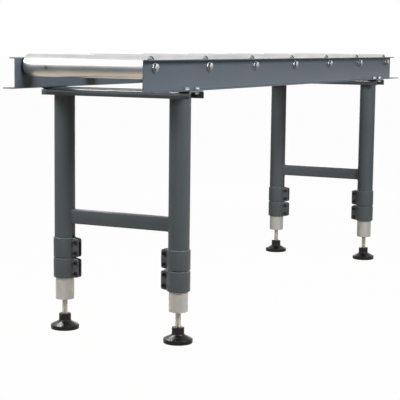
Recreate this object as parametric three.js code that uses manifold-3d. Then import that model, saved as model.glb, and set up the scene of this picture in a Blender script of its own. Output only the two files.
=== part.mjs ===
// Roller stand: a straight run of free rollers between two folded side channels,
// carried by two H frames whose legs telescope in clamped sleeves and end in levelling feet.
// Millimetres, +X along the run, +Z up, origin on the floor under the middle of the stand.
import * as THREE from "three";
import { mergeVertices } from "three/addons/utils/BufferGeometryUtils.js";
import Module from "manifold-3d";

const wasm = await Module();
wasm.setup();

// Clearances between pieces
const SEAT_GAP = 0.3; // pieces that touch or are welded
const RUNNING_GAP = 0.3; // pieces that turn or slide in each other
const HOLE_CLEARANCE = 0.5; // round a bolt in its hole

// Rollers, with their bearings and fixed axles
const ROLLER_COUNT = 7;
const ROLLER_FROM_END = 55; // from the channels' ends to the first and last axles
const ROLLER_DIAMETER = 60;
const ROLLER_WALL = 2;
const ROLLER_END_GAP = 7; // from the roller's end to the channel web
const BEARING_WIDTH = 14;
const BEARING_RECESS = 2; // how far the bearing sits inside the tube's end
const BEARING_RACE = 4; // height of its inner race over the axle
const SEAL_DEPTH = 1.2; // how far the seal dishes in to the inner race
const AXLE_DIAMETER = 20;
const AXLE_BOLT_DIAMETER = 12;
const AXLE_BOLT_FLATS = 19;
const AXLE_BOLT_HEAD = 7.5;
const AXLE_WASHER_DIAMETER = 24;
const AXLE_WASHER_THICKNESS = 2.5;

// Side channels, folded from sheet, with both flanges pointing outward
const CHANNEL_LENGTH = 2000;
const CHANNEL_HEIGHT = 82;
const CHANNEL_WALL = 3;
const CHANNEL_BEND = 2; // inside radius
const TRACK_WIDTH = 378; // clear width between the two webs
const TOP_FLANGE = 19; // over the web
const BOTTOM_FLANGE = 39.5; // over the web
const AXLE_BELOW_TOP = 20;

// Cross brackets, inverted channels under the side channels
const FRAME_FROM_END = 226; // from the channels' ends to the middle of each H frame
const BRACKET_WIDTH = 86;
const BRACKET_HEIGHT = 21;
const BRACKET_WALL = 3;
const BRACKET_BEND = 2; // inside radius
const FLANGE_BOLT_OUT = 21; // from the web's outer face
const FLANGE_BOLT_DIAMETER = 8;
const FLANGE_BOLT_FLATS = 13;
const FLANGE_BOLT_HEAD = 5.5;
const FLANGE_NUT_HEIGHT = 6.5;
const FLANGE_WASHER_DIAMETER = 17;
const FLANGE_WASHER_THICKNESS = 1.6;

// Legs and the stretcher between them
const LEG_AXES_WIDTH = 360; // across the stand, axis to axis
const LEG_DIAMETER = 58;
const LEG_WALL = 2.8;
const LEG_LENGTH = 530;
const STRETCHER_ABOVE_LEG_END = 174; // to the middle of the tube
const STRETCHER_HEIGHT = 40;
const STRETCHER_DEPTH = 20;
const STRETCHER_WALL = 2;

// Clamp collars, two on the slit lower end of each leg
const CLAMP_HEIGHT = 56;
const CLAMP_GAP = 2;
const CLAMP_WALL = 2.6;
const CLAMP_SLOT = 11; // between the ears
const CLAMP_DROP = { left_far: 0, left_near: 6, right_far: 8, right_near: 1 }; // past the leg's end, set by hand
const EAR_THICKNESS = 3.5;
const EAR_REACH = 49; // from the leg's axis to the ears' ends
const EAR_FILLET = 4; // between the ears and the band
const EAR_TAPER = 2.5; // how much lower the ears are at their ends, top and bottom
const EAR_CORNER = 3.5;
const SLIT_WIDTH = 11; // of the cut up the leg's lower end
const SLIT_MARGIN = 3; // the slit ends this far under the stretcher
const CLAMP_BOLT_SPACING = 30;
const CLAMP_BOLT_FROM_EAR_END = 9;
const CLAMP_BOLT_DIAMETER = 8;
const CLAMP_BOLT_HEAD_DIAMETER = 13;
const CLAMP_BOLT_HEAD = 8;
const CLAMP_NUT_FLATS = 13;
const CLAMP_NUT_HEIGHT = 6.5;

// Inner leg tubes with a threaded plug, levelling spindles and feet
const INNER_SHOWN = 62; // below the leg's end
const INNER_LENGTH = 445;
const INNER_WALL = 3;
const PLUG_LENGTH = 30;
const SPINDLE_DIAMETER = 16;
const SPINDLE_SHOWN = 39.5; // between the foot and the inner tube
const SPINDLE_SPARE = 34; // above the plug
const SPINDLE_CHAMFER = 1.5;
const BALL_DIAMETER = 22;
const FOOT_DIAMETER = 80;
const FOOT_HEIGHT = 47;
const FOOT_EDGE = 2; // chamfer round the underside
const RIM_HEIGHT = 12;
const RIM_SHOULDER = 3; // how far the rim's top slopes in before the cone
const HUB_DIAMETER = 37;
const HUB_HEIGHT = 20;
const SOCKET_FLOOR = 10; // thickness of the foot under the ball

// Facets round a full turn
const FACETS_LARGE = 24; // legs, collars and feet
const FACETS_MEDIUM = 20; // rollers, bearings and axles
const FACETS_SMALL = 8; // spindles, washers and bolts
const FACETS_BEND = 2; // in a quarter turn
const FACETS_BALL = 4; // from pole to neck
const HEX = 6;
const REACH_PAST = 5; // how far a cutter runs past what it cuts

// Heights, stacked from the floor
const innerBottom = FOOT_HEIGHT + SPINDLE_SHOWN;
const legBottom = innerBottom + INNER_SHOWN;
const legTop = legBottom + LEG_LENGTH;
const bracketTop = legTop + SEAT_GAP + BRACKET_WALL;
const channelBottom = bracketTop + SEAT_GAP;
const channelTop = channelBottom + CHANNEL_HEIGHT;
const axleHeight = channelTop - AXLE_BELOW_TOP;

// Radii and places that several pieces share
const rollerPitch = (CHANNEL_LENGTH - 2 * ROLLER_FROM_END) / (ROLLER_COUNT - 1);
const frameX = CHANNEL_LENGTH / 2 - FRAME_FROM_END;
const webInner = TRACK_WIDTH / 2;
const webOuter = webInner + CHANNEL_WALL;
const rollerLength = TRACK_WIDTH - 2 * ROLLER_END_GAP;
const rollerBore = ROLLER_DIAMETER / 2 - ROLLER_WALL;
const legRadius = LEG_DIAMETER / 2;
const legBore = legRadius - LEG_WALL;
const innerRadius = legBore - RUNNING_GAP;
const clampBore = legRadius + SEAT_GAP;
const spindleRadius = SPINDLE_DIAMETER / 2;
const ballHeight = SOCKET_FLOOR + RUNNING_GAP + BALL_DIAMETER / 2;
const bracketFlat = BRACKET_WIDTH / 2 - BRACKET_WALL - BRACKET_BEND;
const flangeBoltX = bracketFlat - hexRadius(FLANGE_BOLT_FLATS); // keeps the nut clear of the bend

// Materials
const paint = new THREE.MeshStandardMaterial({ color: 0x4a5157, roughness: 0.5, metalness: 0.1 });
const zinc = new THREE.MeshStandardMaterial({ color: 0xc9cdd0, roughness: 0.3, metalness: 1 });
const rollerSteel = new THREE.MeshStandardMaterial({ color: 0xd9dbdc, roughness: 0.25, metalness: 1 });
const bearingSteel = new THREE.MeshStandardMaterial({ color: 0x8e9193, roughness: 0.4, metalness: 1 });
const tubeSteel = new THREE.MeshStandardMaterial({ color: 0xb4b4b0, roughness: 0.5, metalness: 0.8 });
const blackPlastic = new THREE.MeshStandardMaterial({ color: 0x1d1c1b, roughness: 0.45, metalness: 0 });

// A closed geometry as a solid that can be joined and cut
function solid(geometry) {
  const bare = geometry.clone();
  bare.deleteAttribute("normal");
  bare.deleteAttribute("uv");
  const merged = mergeVertices(bare, 1e-5);
  const mesh = new wasm.Mesh({
    numProp: 3,
    vertProperties: Float32Array.from(merged.attributes.position.array),
    triVerts: Uint32Array.from(merged.index.array),
  });
  return new wasm.Manifold(mesh);
}

// A solid back as a geometry with flat faces
function geometryOf(manifold) {
  const mesh = manifold.getMesh();
  const geometry = new THREE.BufferGeometry();
  geometry.setAttribute("position", new THREE.BufferAttribute(mesh.vertProperties, 3));
  geometry.setIndex(new THREE.BufferAttribute(mesh.triVerts, 1));
  geometry.computeVertexNormals();
  return geometry;
}

// A ring or disc about Z from a closed or axis-to-axis profile of radius and height pairs
function turned(profile, facets) {
  const points = profile.map(([radius, height]) => new THREE.Vector2(radius, height));
  return new THREE.LatheGeometry(points, facets).rotateX(Math.PI / 2);
}

// A tube about Z that stands on z = 0
function tube(outer, inner, length, facets) {
  return turned([[inner, 0], [outer, 0], [outer, length], [inner, length], [inner, 0]], facets);
}

// A rod about Z that stands on z = 0
function rod(radius, length, facets) {
  return new THREE.CylinderGeometry(radius, radius, length, facets)
    .rotateX(Math.PI / 2)
    .translate(0, 0, length / 2);
}

// From the middle of a hexagon to its corners
function hexRadius(flats) {
  return flats / Math.sqrt(3);
}

function hexRod(flats, length) {
  return rod(hexRadius(flats), length, HEX);
}

// An outline in the first two axes, pushed along the third from 0
function extruded(outline, depth) {
  return new THREE.ExtrudeGeometry(outline, { depth, bevelEnabled: false, curveSegments: FACETS_BEND });
}

function place(group, name, geometry, material, position) {
  const mesh = new THREE.Mesh(geometry, material);
  mesh.name = name;
  mesh.position.set(...position);
  group.add(mesh);
  return mesh;
}

// A side channel's section: web at x = 0 inside, flanges towards +x, bottom at y = 0
function channelSection() {
  const outerBend = CHANNEL_BEND + CHANNEL_WALL;
  const high = CHANNEL_HEIGHT;
  const section = new THREE.Shape();
  section.moveTo(BOTTOM_FLANGE, 0);
  section.lineTo(BOTTOM_FLANGE, CHANNEL_WALL);
  section.lineTo(outerBend, CHANNEL_WALL);
  section.absarc(outerBend, outerBend, CHANNEL_BEND, -Math.PI / 2, Math.PI, true);
  section.lineTo(CHANNEL_WALL, high - outerBend);
  section.absarc(outerBend, high - outerBend, CHANNEL_BEND, Math.PI, Math.PI / 2, true);
  section.lineTo(TOP_FLANGE, high - CHANNEL_WALL);
  section.lineTo(TOP_FLANGE, high);
  section.lineTo(outerBend, high);
  section.absarc(outerBend, high - outerBend, outerBend, Math.PI / 2, Math.PI, false);
  section.lineTo(0, outerBend);
  section.absarc(outerBend, outerBend, outerBend, Math.PI, Math.PI * 1.5, false);
  section.closePath();
  return section;
}

// Places along X of the four bolts that hold one side channel to the two brackets
function flangeBoltPlaces() {
  const places = [];
  for (const frame of [-1, 1]) {
    for (const end of [-1, 1]) {
      places.push(frame * frameX + end * flangeBoltX);
    }
  }
  return places;
}

// A flange bolt with its washer and nut, the flange's upper face at z = 0
function flangeBolt() {
  const grip = CHANNEL_WALL + SEAT_GAP + BRACKET_WALL + SEAT_GAP;
  const below = grip + FLANGE_NUT_HEIGHT;
  const shankFrom = -grip - FLANGE_NUT_HEIGHT / 2;
  const shankLength = FLANGE_WASHER_THICKNESS - shankFrom;
  const shank = solid(rod(FLANGE_BOLT_DIAMETER / 2, shankLength, FACETS_SMALL).translate(0, 0, shankFrom));
  const washer = solid(rod(FLANGE_WASHER_DIAMETER / 2, FLANGE_WASHER_THICKNESS, FACETS_SMALL));
  const head = solid(hexRod(FLANGE_BOLT_FLATS, FLANGE_BOLT_HEAD).translate(0, 0, FLANGE_WASHER_THICKNESS));
  const nut = solid(hexRod(FLANGE_BOLT_FLATS, FLANGE_NUT_HEIGHT).translate(0, 0, -below));
  return shank.add(washer).add(head).add(nut);
}

// A side channel on the +Y side, its length about x = 0, its bottom at z = 0
function sideChannel() {
  const folded = extruded(channelSection(), CHANNEL_LENGTH)
    .rotateX(Math.PI / 2)
    .rotateZ(Math.PI / 2)
    .translate(-CHANNEL_LENGTH / 2, webInner, 0);
  let channel = solid(folded);
  const holeRadius = AXLE_BOLT_DIAMETER / 2 + HOLE_CLEARANCE;
  for (const x of rollerPlaces()) {
    const hole = rod(holeRadius, CHANNEL_WALL + 2 * REACH_PAST, FACETS_SMALL)
      .rotateX(-Math.PI / 2)
      .translate(x, webInner - REACH_PAST, CHANNEL_HEIGHT - AXLE_BELOW_TOP);
    channel = channel.subtract(solid(hole));
  }
  for (const x of flangeBoltPlaces()) {
    channel = channel.add(flangeBolt().translate([x, webOuter + FLANGE_BOLT_OUT, CHANNEL_WALL]));
  }
  return geometryOf(channel);
}

function rollerPlaces() {
  const first = ROLLER_FROM_END - CHANNEL_LENGTH / 2;
  return Array.from({ length: ROLLER_COUNT }, (_, i) => first + i * rollerPitch);
}

// The fixed axle along Y with the bolt and washer that hold it at each web
function axle() {
  const half = webInner - SEAT_GAP;
  let piece = solid(rod(AXLE_DIAMETER / 2, 2 * half, FACETS_MEDIUM).translate(0, 0, -half));
  const seat = webOuter + SEAT_GAP;
  for (const turn of [0, Math.PI]) {
    const shankLength = seat - half + AXLE_WASHER_THICKNESS + REACH_PAST;
    const shank = rod(AXLE_BOLT_DIAMETER / 2, shankLength, FACETS_SMALL).translate(0, 0, half - REACH_PAST);
    const washer = rod(AXLE_WASHER_DIAMETER / 2, AXLE_WASHER_THICKNESS, FACETS_SMALL).translate(0, 0, seat);
    const head = hexRod(AXLE_BOLT_FLATS, AXLE_BOLT_HEAD).translate(0, 0, seat + AXLE_WASHER_THICKNESS);
    for (const shape of [shank, washer, head]) {
      piece = piece.add(solid(shape.rotateX(turn)));
    }
  }
  return geometryOf(piece).rotateX(-Math.PI / 2);
}

// The roller's steel tube along Y
function rollerTube() {
  return tube(ROLLER_DIAMETER / 2, rollerBore, rollerLength, FACETS_MEDIUM)
    .translate(0, 0, -rollerLength / 2)
    .rotateX(-Math.PI / 2);
}

// A bearing along Y with a dished seal round its inner race, its outer face at y = 0
function bearing() {
  const bore = AXLE_DIAMETER / 2 + RUNNING_GAP;
  const outer = rollerBore - SEAT_GAP;
  const race = bore + BEARING_RACE;
  const profile = [
    [bore, -BEARING_WIDTH],
    [outer, -BEARING_WIDTH],
    [outer, 0],
    [race, -SEAL_DEPTH],
    [race, 0],
    [bore, 0],
    [bore, -BEARING_WIDTH],
  ];
  return turned(profile, FACETS_MEDIUM).rotateX(-Math.PI / 2);
}

// A cross bracket along Y, open downward, its top at z = 0
function crossBracket() {
  const half = BRACKET_WIDTH / 2;
  const outerBend = BRACKET_BEND + BRACKET_WALL;
  const inner = half - BRACKET_WALL;
  const section = new THREE.Shape();
  section.moveTo(-half, -BRACKET_HEIGHT);
  section.lineTo(-inner, -BRACKET_HEIGHT);
  section.lineTo(-inner, -outerBend);
  section.absarc(outerBend - half, -outerBend, BRACKET_BEND, Math.PI, Math.PI / 2, true);
  section.lineTo(half - outerBend, -BRACKET_WALL);
  section.absarc(half - outerBend, -outerBend, BRACKET_BEND, Math.PI / 2, 0, true);
  section.lineTo(inner, -BRACKET_HEIGHT);
  section.lineTo(half, -BRACKET_HEIGHT);
  section.lineTo(half, -outerBend);
  section.absarc(half - outerBend, -outerBend, outerBend, 0, Math.PI / 2, false);
  section.lineTo(outerBend - half, 0);
  section.absarc(outerBend - half, -outerBend, outerBend, Math.PI / 2, Math.PI, false);
  section.closePath();
  const length = 2 * (webInner + BOTTOM_FLANGE);
  let bracket = solid(extruded(section, length).rotateX(Math.PI / 2).translate(0, length / 2, 0));
  const holeRadius = FLANGE_BOLT_DIAMETER / 2 + HOLE_CLEARANCE;
  for (const x of [-flangeBoltX, flangeBoltX]) {
    for (const side of [-1, 1]) {
      const hole = rod(holeRadius, BRACKET_WALL + 2 * REACH_PAST, FACETS_SMALL)
        .translate(x, side * (webOuter + FLANGE_BOLT_OUT), -BRACKET_WALL - REACH_PAST);
      bracket = bracket.subtract(solid(hole));
    }
  }
  return geometryOf(bracket);
}

// A leg tube with its lower end at z = 0, slit upward on the side that inward points to
function legTube(inward) {
  const slitHeight = STRETCHER_ABOVE_LEG_END - STRETCHER_HEIGHT / 2 - SLIT_MARGIN;
  const slit = new THREE.BoxGeometry(SLIT_WIDTH, legRadius + REACH_PAST, slitHeight + REACH_PAST)
    .translate(0, (inward * (legRadius + REACH_PAST)) / 2, (slitHeight - REACH_PAST) / 2);
  return geometryOf(solid(tube(legRadius, legBore, LEG_LENGTH, FACETS_LARGE)).subtract(solid(slit)));
}

// The stretcher along Y about the middle of the frame, its ends cut to the round of the legs
function stretcher() {
  const outside = new THREE.BoxGeometry(STRETCHER_DEPTH, LEG_AXES_WIDTH, STRETCHER_HEIGHT);
  const bore = new THREE.BoxGeometry(
    STRETCHER_DEPTH - 2 * STRETCHER_WALL,
    LEG_AXES_WIDTH + 2 * REACH_PAST,
    STRETCHER_HEIGHT - 2 * STRETCHER_WALL,
  );
  let piece = solid(outside).subtract(solid(bore));
  for (const side of [-1, 1]) {
    const round = rod(legRadius + SEAT_GAP, STRETCHER_HEIGHT + 2 * REACH_PAST, FACETS_LARGE)
      .translate(0, (side * LEG_AXES_WIDTH) / 2, -STRETCHER_HEIGHT / 2 - REACH_PAST);
    piece = piece.subtract(solid(round));
  }
  return geometryOf(piece);
}

// The strap of a clamp collar seen from above: a split band whose ends turn out into two ears along +Y
function clampOutline() {
  const band = clampBore + CLAMP_WALL;
  const slot = CLAMP_SLOT / 2;
  const ear = slot + EAR_THICKNESS;
  const filletX = ear + EAR_FILLET;
  const filletY = Math.sqrt((band + EAR_FILLET) ** 2 - filletX ** 2);
  const slotAngle = Math.acos(slot / clampBore);
  const filletAngle = Math.atan2(filletY, filletX);
  const outline = new THREE.Shape();
  outline.moveTo(slot, EAR_REACH);
  outline.lineTo(ear, EAR_REACH);
  outline.lineTo(ear, filletY);
  outline.absarc(filletX, filletY, EAR_FILLET, Math.PI, Math.PI + filletAngle, false);
  arcPoints(outline, band, filletAngle, -Math.PI - filletAngle);
  outline.absarc(-filletX, filletY, EAR_FILLET, -filletAngle, 0, false);
  outline.lineTo(-ear, EAR_REACH);
  outline.lineTo(-slot, EAR_REACH);
  arcPoints(outline, clampBore, -Math.PI - slotAngle, slotAngle);
  outline.closePath();
  return outline;
}

// Adds straight steps along a circle about the origin, fine enough for a full turn of facets
function arcPoints(outline, radius, from, to) {
  const steps = Math.ceil((Math.abs(to - from) / (2 * Math.PI)) * FACETS_LARGE);
  for (let i = 0; i <= steps; i += 1) {
    const angle = from + ((to - from) * i) / steps;
    outline.lineTo(radius * Math.cos(angle), radius * Math.sin(angle));
  }
}

// The collar seen from the side: full height at the band, ears tapering to rounded corners
function clampSide() {
  const band = clampBore + CLAMP_WALL;
  const half = CLAMP_HEIGHT / 2;
  const low = half - EAR_TAPER;
  const end = EAR_REACH - EAR_CORNER;
  const past = half + REACH_PAST;
  const side = new THREE.Shape();
  side.moveTo(-band - REACH_PAST, -past);
  side.lineTo(band, -past);
  side.lineTo(band, -half);
  side.lineTo(end, -low);
  side.absarc(end, EAR_CORNER - low, EAR_CORNER, -Math.PI / 2, 0, false);
  side.absarc(end, low - EAR_CORNER, EAR_CORNER, 0, Math.PI / 2, false);
  side.lineTo(band, half);
  side.lineTo(band, past);
  side.lineTo(-band - REACH_PAST, past);
  side.closePath();
  return side;
}

// A clamp collar about z = 0 with its two bolts and nuts; its ears point the way that inward gives
function clampCollar(inward) {
  const turn = inward > 0 ? 0 : Math.PI;
  const wide = 2 * (clampBore + CLAMP_WALL + REACH_PAST);
  const strap = solid(extruded(clampOutline(), CLAMP_HEIGHT).translate(0, 0, -CLAMP_HEIGHT / 2));
  const sideView = extruded(clampSide(), wide)
    .rotateX(Math.PI / 2)
    .rotateZ(Math.PI / 2)
    .translate(-wide / 2, 0, 0);
  let collar = solid(geometryOf(strap.intersect(solid(sideView))).rotateZ(turn));
  const ear = CLAMP_SLOT / 2 + EAR_THICKNESS;
  const boltY = inward * (EAR_REACH - CLAMP_BOLT_FROM_EAR_END);
  for (const z of [-CLAMP_BOLT_SPACING / 2, CLAMP_BOLT_SPACING / 2]) {
    const shank = rod(CLAMP_BOLT_DIAMETER / 2, 2 * ear, FACETS_SMALL).translate(0, 0, -ear);
    const head = rod(CLAMP_BOLT_HEAD_DIAMETER / 2, CLAMP_BOLT_HEAD, FACETS_SMALL)
      .translate(0, 0, -ear - CLAMP_BOLT_HEAD);
    const nut = hexRod(CLAMP_NUT_FLATS, CLAMP_NUT_HEIGHT).translate(0, 0, ear);
    for (const shape of [shank, head, nut]) {
      collar = collar.add(solid(shape.rotateY(Math.PI / 2).translate(0, boltY, z)));
    }
  }
  return geometryOf(collar);
}

// The inner tube with the threaded plug fixed in its lower end, which is at z = 0
function innerTube() {
  const bore = innerRadius - INNER_WALL;
  const thread = spindleRadius + RUNNING_GAP;
  const profile = [
    [thread, 0],
    [innerRadius, 0],
    [innerRadius, INNER_LENGTH],
    [bore, INNER_LENGTH],
    [bore, PLUG_LENGTH],
    [thread, PLUG_LENGTH],
    [thread, 0],
  ];
  return turned(profile, FACETS_LARGE);
}

// Points on a ball about the given height, from one angle to another above the equator
function ballPoints(radius, height, from, to, steps) {
  return Array.from({ length: steps + 1 }, (_, i) => {
    const angle = from + ((to - from) * i) / steps;
    return [radius * Math.cos(angle), height + radius * Math.sin(angle)];
  });
}

// The levelling spindle, standing on the ball that turns in the foot
function spindle() {
  const radius = BALL_DIAMETER / 2;
  const top = innerBottom + PLUG_LENGTH + SPINDLE_SPARE;
  const neck = Math.acos(spindleRadius / radius);
  const ball = ballPoints(radius, ballHeight, -Math.PI / 2, neck, FACETS_BALL);
  ball[0] = [0, ballHeight - radius];
  const shaft = [
    [spindleRadius, top - SPINDLE_CHAMFER],
    [spindleRadius - SPINDLE_CHAMFER, top],
    [0, top],
  ];
  return turned([...ball, ...shaft], FACETS_SMALL);
}

// The moulded foot: a flat rim, a cone and a hub that holds the spindle's ball
function footBase() {
  const rim = FOOT_DIAMETER / 2;
  const hub = HUB_DIAMETER / 2;
  const socket = BALL_DIAMETER / 2 + RUNNING_GAP;
  const mouth = spindleRadius + RUNNING_GAP;
  const lip = Math.acos(mouth / socket);
  const cup = ballPoints(socket, ballHeight, lip, -Math.PI / 2, FACETS_BALL);
  cup[cup.length - 1] = [0, ballHeight - socket];
  const outside = [
    [0, 0],
    [rim - FOOT_EDGE, 0],
    [rim, FOOT_EDGE],
    [rim, RIM_HEIGHT - RIM_SHOULDER],
    [rim - RIM_SHOULDER, RIM_HEIGHT],
    [hub, FOOT_HEIGHT - HUB_HEIGHT],
    [hub, FOOT_HEIGHT],
    [mouth, FOOT_HEIGHT],
  ];
  return turned([...outside, ...cup], FACETS_LARGE);
}

// The deck: side channels, axles, rollers and bearings
function addDeck(stand) {
  const channel = sideChannel();
  place(stand, "side_channel_far", channel, paint, [0, 0, channelBottom]);
  place(stand, "side_channel_near", channel, paint, [0, 0, channelBottom]).rotation.z = Math.PI;
  const bearingFace = rollerLength / 2 - BEARING_RECESS;
  rollerPlaces().forEach((x, i) => {
    const line = new THREE.Group();
    line.position.set(x, 0, axleHeight);
    place(line, `roller_axle_${i + 1}`, axle(), zinc, [0, 0, 0]);
    place(line, `roller_tube_${i + 1}`, rollerTube(), rollerSteel, [0, 0, 0]);
    place(line, `roller_bearing_far_${i + 1}`, bearing(), bearingSteel, [0, bearingFace, 0]);
    place(line, `roller_bearing_near_${i + 1}`, bearing(), bearingSteel, [0, -bearingFace, 0]).rotation.z = Math.PI;
    stand.add(line);
  });
}

// One telescopic leg with its collars, inner tube, spindle and foot
function addLeg(frame, label, side) {
  const leg = new THREE.Group();
  leg.position.y = (side * LEG_AXES_WIDTH) / 2;
  const lowerClamp = legBottom - CLAMP_DROP[label] + CLAMP_HEIGHT / 2;
  place(leg, `leg_tube_${label}`, legTube(-side), paint, [0, 0, legBottom]);
  place(leg, `clamp_lower_${label}`, clampCollar(-side), paint, [0, 0, lowerClamp]);
  place(leg, `clamp_upper_${label}`, clampCollar(-side), paint, [0, 0, lowerClamp + CLAMP_HEIGHT + CLAMP_GAP]);
  place(leg, `inner_tube_${label}`, innerTube(), tubeSteel, [0, 0, innerBottom]);
  place(leg, `spindle_${label}`, spindle(), zinc, [0, 0, 0]);
  place(leg, `foot_${label}`, footBase(), blackPlastic, [0, 0, 0]);
  frame.add(leg);
}

// One H frame: bracket, two legs and the stretcher
function addFrame(stand, label, x) {
  const frame = new THREE.Group();
  frame.position.x = x;
  place(frame, `cross_bracket_${label}`, crossBracket(), paint, [0, 0, bracketTop]);
  place(frame, `stretcher_${label}`, stretcher(), paint, [0, 0, legBottom + STRETCHER_ABOVE_LEG_END]);
  addLeg(frame, `${label}_far`, 1);
  addLeg(frame, `${label}_near`, -1);
  stand.add(frame);
}

const stand = new THREE.Group();
addDeck(stand);
addFrame(stand, "left", -frameX);
addFrame(stand, "right", frameX);

export default stand;
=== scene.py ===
import math

import bmesh
import bpy
import numpy as np
from mathutils import Matrix, Vector


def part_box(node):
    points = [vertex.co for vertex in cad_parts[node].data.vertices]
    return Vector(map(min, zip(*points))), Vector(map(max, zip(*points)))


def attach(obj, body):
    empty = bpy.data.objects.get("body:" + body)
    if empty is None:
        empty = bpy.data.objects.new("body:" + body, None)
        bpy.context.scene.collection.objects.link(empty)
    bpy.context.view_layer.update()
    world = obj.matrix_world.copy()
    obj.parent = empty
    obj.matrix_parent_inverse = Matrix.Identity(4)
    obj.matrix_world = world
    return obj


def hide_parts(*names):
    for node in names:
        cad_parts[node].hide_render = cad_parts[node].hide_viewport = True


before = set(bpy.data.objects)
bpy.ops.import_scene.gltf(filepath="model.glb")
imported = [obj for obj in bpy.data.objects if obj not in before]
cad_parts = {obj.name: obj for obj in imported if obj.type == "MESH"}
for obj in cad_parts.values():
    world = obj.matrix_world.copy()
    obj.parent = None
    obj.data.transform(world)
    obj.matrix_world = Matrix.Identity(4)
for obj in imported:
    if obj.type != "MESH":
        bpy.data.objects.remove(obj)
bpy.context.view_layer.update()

# Studio: a pale paper floor that runs out of sight, four soft boxes and an even white room.
# The floor and the room read as white to the camera, and the room also in polished metal, where
# the floor shows a painted reflection: warm and bright near the stand, dark grey farther out.
# The floor keeps a little of its own shading so that the stand's shadow stays.
mm = 0.001
FLOOR_HALF = 60.0
FLOOR_DROP = 0.4 * mm
FLOOR_COLOUR = (0.4, 0.36, 0.295, 1)
FLOOR_WHITE_SHARE = 0.98
PAINTED_REFLECTION_REACH = 5.0
# Painted reflection: the floor's glow as metal sees it, by distance from the middle in metres. It is warm and bright
# near the stand and dark grey beyond, which paints the rollers' lower band and dark band.
PAINTED_FLOOR_REFLECTION = (
    (1.1, (0.84, 0.755, 0.61, 1)), (1.9, (0.225, 0.23, 0.235, 1)),
    (2.6, (0.225, 0.23, 0.235, 1)), (5.0, (0.25, 0.25, 0.25, 1)),
)
ROOM_LIGHT = 0.02
SOFT_BOXES = {
    "near_side": ((-1.0, -2.8, 2.4), (-0.3, 0.0, 0.45), 1.3, 180, 126),
    "left_end": ((-2.3, 1.2, 1.9), (-0.5, 0.0, 0.45), 0.95, 180, 53),
    "far_side": ((-0.44, 0.68, 1.07), (-0.73, 0.16, 0.05), 0.33, 46, 1.1),
    "right_end": ((2.9, 1.1, 0.6), (0.5, 0.0, 0.45), 1.2, 180, 16),
}


def white_to_view(nodes, link):
    """1 for a ray from the camera or from a shiny or clear face, 0 for a ray of light."""
    path = nodes.new("ShaderNodeLightPath")
    total = path.outputs["Is Camera Ray"]
    for ray in ("Is Glossy Ray", "Is Transmission Ray"):
        add = nodes.new("ShaderNodeMath")
        add.use_clamp = True
        link(total, add.inputs[0])
        link(path.outputs[ray], add.inputs[1])
        total = add.outputs[0]
    return total


floor_mesh = bpy.data.meshes.new("floor")
corner_signs = np.array([(-1, -1, 0), (1, -1, 0), (1, 1, 0), (-1, 1, 0)], float)
floor_mesh.from_pydata((corner_signs * FLOOR_HALF - (0, 0, FLOOR_DROP)).tolist(), [], [(0, 1, 2, 3)])
floor = bpy.data.objects.new("floor", floor_mesh)
bpy.context.collection.objects.link(floor)
paper = bpy.data.materials.new("paper_floor")
paper.use_nodes = True
paper_nodes, paper_link = paper.node_tree.nodes, paper.node_tree.links.new
paper_nodes.remove(paper_nodes["Principled BSDF"])
paper_matt = paper_nodes.new("ShaderNodeBsdfDiffuse")
paper_matt.inputs["Color"].default_value = FLOOR_COLOUR
paper_white_and_painted_reflection = paper_nodes.new("ShaderNodeEmission")
paper_space = paper_nodes.new("ShaderNodeTexCoord")
paper_reach = paper_nodes.new("ShaderNodeVectorMath")
paper_reach.operation = "LENGTH"
painted_reflection_distance_share = paper_nodes.new("ShaderNodeMapRange")
painted_reflection_distance_share.inputs["From Max"].default_value = PAINTED_REFLECTION_REACH
# Painted reflection: what metal sees of the floor is set by distance, not by the lamps.
painted_reflection_ramp = paper_nodes.new("ShaderNodeValToRGB")
painted_reflection_stops = painted_reflection_ramp.color_ramp.elements
while len(painted_reflection_stops) < len(PAINTED_FLOOR_REFLECTION):
    painted_reflection_stops.new(1.0)
for stop, (reach, colour) in zip(painted_reflection_stops, PAINTED_FLOOR_REFLECTION):
    stop.position = reach / PAINTED_REFLECTION_REACH
    stop.color = colour
paper_path = paper_nodes.new("ShaderNodeLightPath")
painted_reflection_switch = paper_nodes.new("ShaderNodeMix")
painted_reflection_switch.data_type = "RGBA"
painted_reflection_switch.inputs["B"].default_value = (1, 1, 1, 1)
paper_share = paper_nodes.new("ShaderNodeMath")
paper_share.operation = "MULTIPLY"
paper_share.inputs[1].default_value = FLOOR_WHITE_SHARE
paper_mix = paper_nodes.new("ShaderNodeMixShader")
paper_link(paper_space.outputs["Object"], paper_reach.inputs[0])
paper_link(paper_reach.outputs["Value"], painted_reflection_distance_share.inputs["Value"])
paper_link(painted_reflection_distance_share.outputs[0], painted_reflection_ramp.inputs["Fac"])
# The camera sees white, and metal sees the painted reflection.
paper_link(paper_path.outputs["Is Camera Ray"], painted_reflection_switch.inputs["Factor"])
paper_link(painted_reflection_ramp.outputs["Color"], painted_reflection_switch.inputs["A"])
paper_link(painted_reflection_switch.outputs["Result"], paper_white_and_painted_reflection.inputs["Color"])
paper_link(white_to_view(paper_nodes, paper_link), paper_share.inputs[0])
paper_link(paper_share.outputs[0], paper_mix.inputs["Fac"])
paper_link(paper_matt.outputs[0], paper_mix.inputs[1])
paper_link(paper_white_and_painted_reflection.outputs[0], paper_mix.inputs[2])
paper_link(paper_mix.outputs[0], paper_nodes["Material Output"].inputs["Surface"])
floor_mesh.materials.append(paper)

room = bpy.data.worlds.new("white_room")
bpy.context.scene.world = room
room.use_nodes = True
room_nodes, room_link = room.node_tree.nodes, room.node_tree.links.new
room_level = room_nodes.new("ShaderNodeMapRange")
room_level.inputs["To Min"].default_value = ROOM_LIGHT
room_level.inputs["To Max"].default_value = 1.0
room_nodes["Background"].inputs["Color"].default_value = (1, 1, 1, 1)
room_link(white_to_view(room_nodes, room_link), room_level.inputs["Value"])
room_link(room_level.outputs[0], room_nodes["Background"].inputs["Strength"])

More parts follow.
